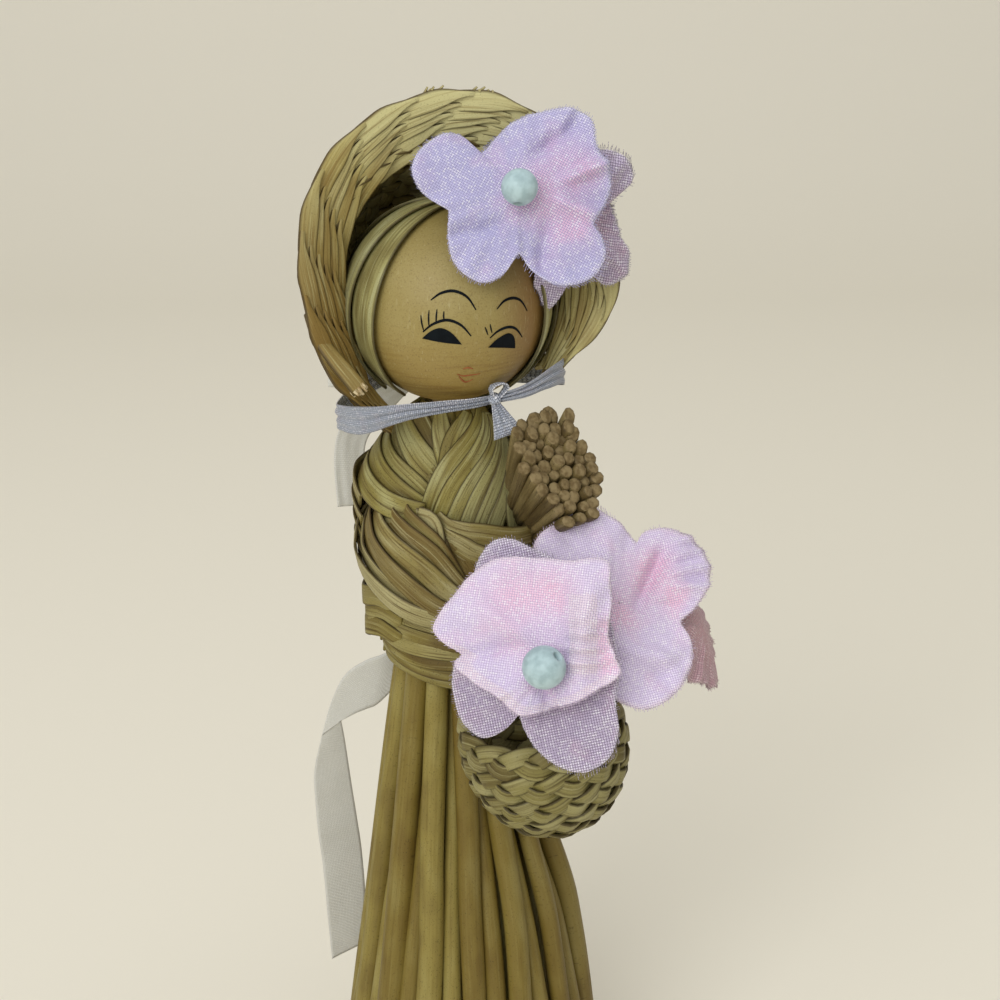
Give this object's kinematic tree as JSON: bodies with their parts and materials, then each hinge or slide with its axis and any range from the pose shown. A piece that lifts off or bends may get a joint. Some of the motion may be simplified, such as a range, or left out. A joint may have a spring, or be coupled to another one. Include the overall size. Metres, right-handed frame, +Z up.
{
  "type": "rush peg doll",
  "caption": "Rush doll on a wooden peg, with a turning ball head in a plaited bonnet, a wrapped bodice, a flared rush skirt and a basket of cloth blossoms.",
  "frame": {"origin": "middle of the peg's foot, on the floor that the doll stands on", "axes": "+Z up along the peg, the body faces -Y, and +X is towards the doll's left"},
  "size_m": [0.0833, 0.0754, 0.2196],
  "materials": {
    "rush": "dried rush, olive gold, slightly glossy with fine lengthwise lines",
    "pale_rush": "flattened dried rush, straw gold with fine lengthwise lines",
    "head_wood": "turned wood with a thin golden stain and small dark flecks",
    "peg_wood": "plain turned dowel",
    "pink_cloth": "stiff woven blossom cloth, pale pink with frayed edges",
    "lilac_cloth": "stiff woven blossom cloth, pale lilac with frayed edges",
    "lilac_ribbon": "thin shimmering ribbon",
    "pale_ribbon": "thin satin ribbon, off-white",
    "bead": "pale mint bead with a soft shine",
    "wire": "thin wrapped flower wire"
  },
  "bodies": {
    "body": {"skirt_rush_01": "rush", "skirt_rush_02": "rush", "skirt_rush_03": "rush", "skirt_rush_04": "rush", "skirt_rush_05": "rush", "skirt_rush_06": "rush", "skirt_rush_07": "rush", "skirt_rush_08": "rush", "skirt_rush_09": "rush", "skirt_rush_10": "rush", "skirt_rush_11": "rush", "skirt_rush_12": "rush", "skirt_rush_13": "rush", "skirt_rush_14": "rush", "core_bundle": "rush", "arm_left": "rush", "waist_band": "rush", "shoulder_tuft": "rush", "bodice_front_under": "rush", "bodice_back_under": "rush", "arm_right": "pale_rush", "bodice_front_over": "pale_rush", "bodice_back_over": "pale_rush", "basket": "pale_rush", "core_peg": "peg_wood", "basket_blossom_upper": "pink_cloth", "basket_blossom_side": "pink_cloth", "basket_blossom_lower": "lilac_cloth", "basket_blossom_rear": "lilac_cloth", "sash_knot": "pale_ribbon", "sash_tail_right": "pale_ribbon", "sash_tail_left": "pale_ribbon", "basket_front_wire": "wire", "basket_side_wire": "wire", "basket_rear_wire": "wire", "basket_bead": "bead"},
    "head": {"head_ball": "head_wood", "hair_right_1": "pale_rush", "hair_right_2": "pale_rush", "hair_right_3": "pale_rush", "hair_left_1": "pale_rush", "hair_left_2": "pale_rush", "hair_left_3": "pale_rush", "bonnet_brim_strand_1": "pale_rush", "bonnet_brim_strand_2": "pale_rush", "bonnet_brim_strand_3": "pale_rush", "bonnet_crown": "pale_rush", "chin_ribbon_right": "lilac_ribbon", "chin_ribbon_left": "lilac_ribbon", "chin_knot": "lilac_ribbon", "bow_knot": "lilac_ribbon", "bow_loop_right": "lilac_ribbon", "bow_loop_left": "lilac_ribbon", "bow_tail_right": "lilac_ribbon", "bow_tail_left": "lilac_ribbon", "bonnet_front_wire": "wire", "bonnet_blossom_front": "pink_cloth", "bonnet_bead": "bead", "bonnet_rear_wire": "wire", "bonnet_blossom_rear": "lilac_cloth"}
  },
  "joints": [
    {"name": "head_turn", "type": "hinge", "parent": "body", "child": "head", "pos_m": [0, 0, 0.1645], "axis": [0, 0, 1], "range_deg": [-45, 45]}
  ]
}
